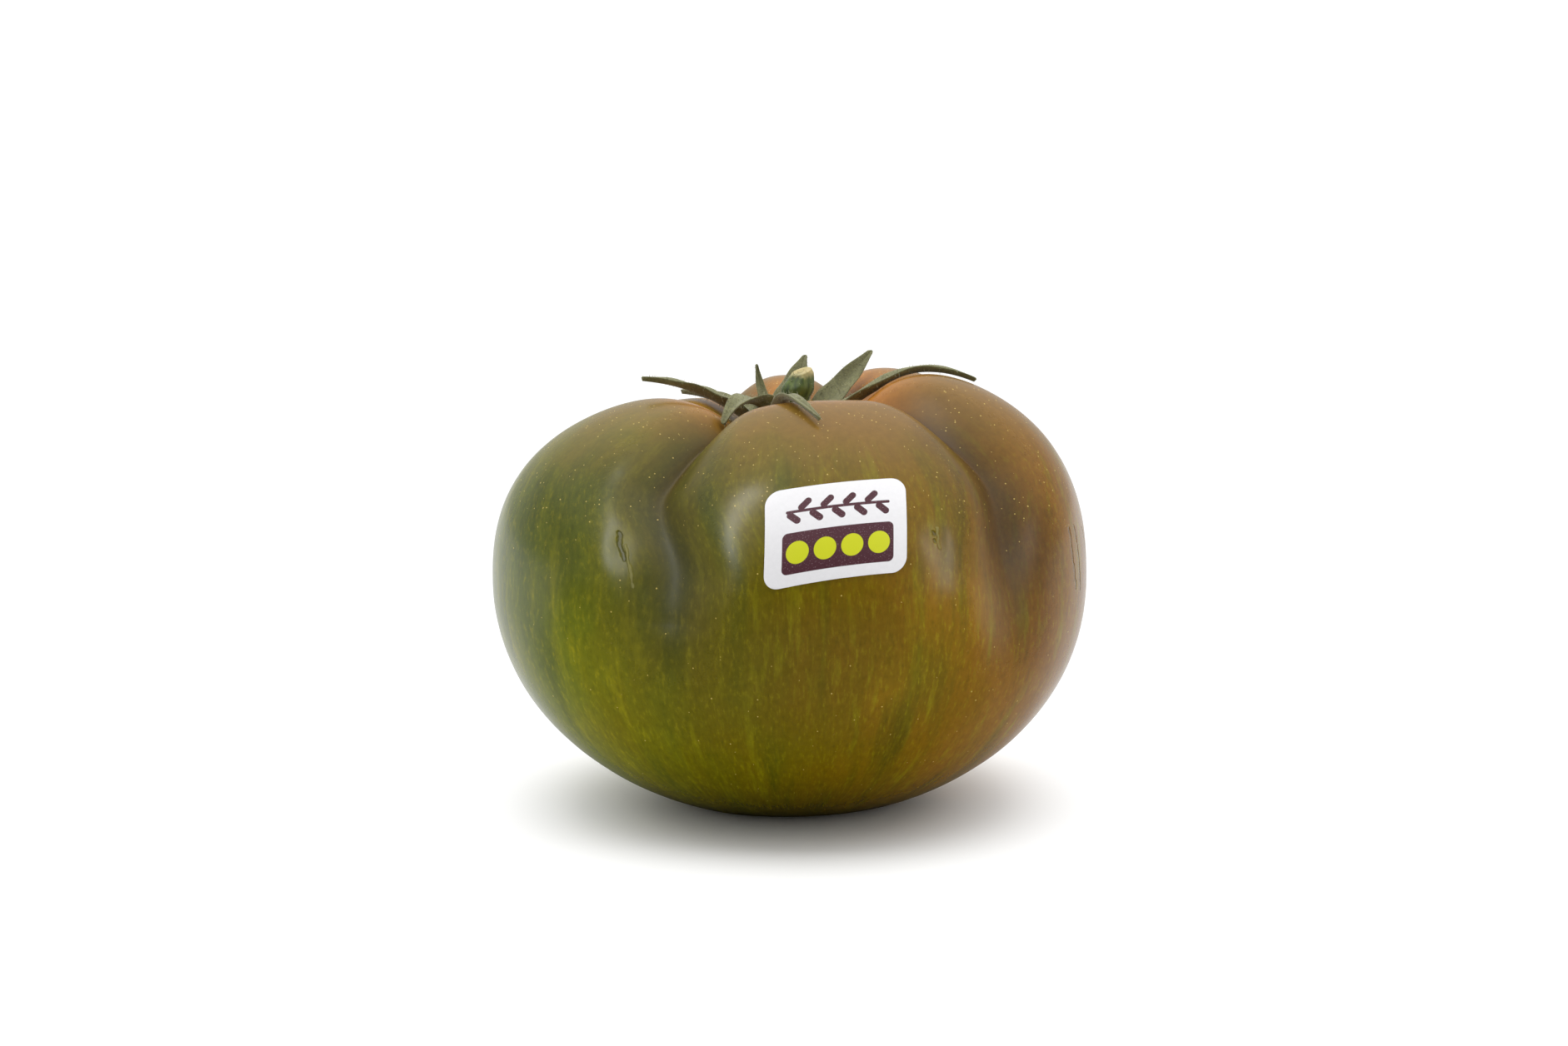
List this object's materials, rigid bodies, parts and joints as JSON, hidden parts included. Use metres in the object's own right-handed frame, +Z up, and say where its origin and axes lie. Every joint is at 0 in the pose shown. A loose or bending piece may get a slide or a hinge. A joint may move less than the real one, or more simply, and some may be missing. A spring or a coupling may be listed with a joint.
{
  "type": "tomato",
  "caption": "Marmande tomato, broad and deeply ribbed, with a leafy green calyx in its hollow top, a stub of stalk and a small stuck-on produce label",
  "frame": {"origin": "on the ground under the middle of the bounding box", "axes": "+Z up, the way the fruit lies on its flat spot with the calyx on top; the labelled side faces -Y; +X to the right as that side is looked at"},
  "size_m": [0.0897, 0.0919, 0.0669],
  "materials": {
    "skin": "smooth waxy tomato skin, olive green going over to brown and orange, satin gloss",
    "calyx": "dull grey green leaf with short hairs",
    "stalk": "soft green stalk, tan where it is cut",
    "label": "coated white paper with a plain printed panel"
  },
  "bodies": {
    "root": {"fruit": "skin", "calyx": "calyx", "stalk": "stalk", "label": "label"}
  },
  "joints": []
}
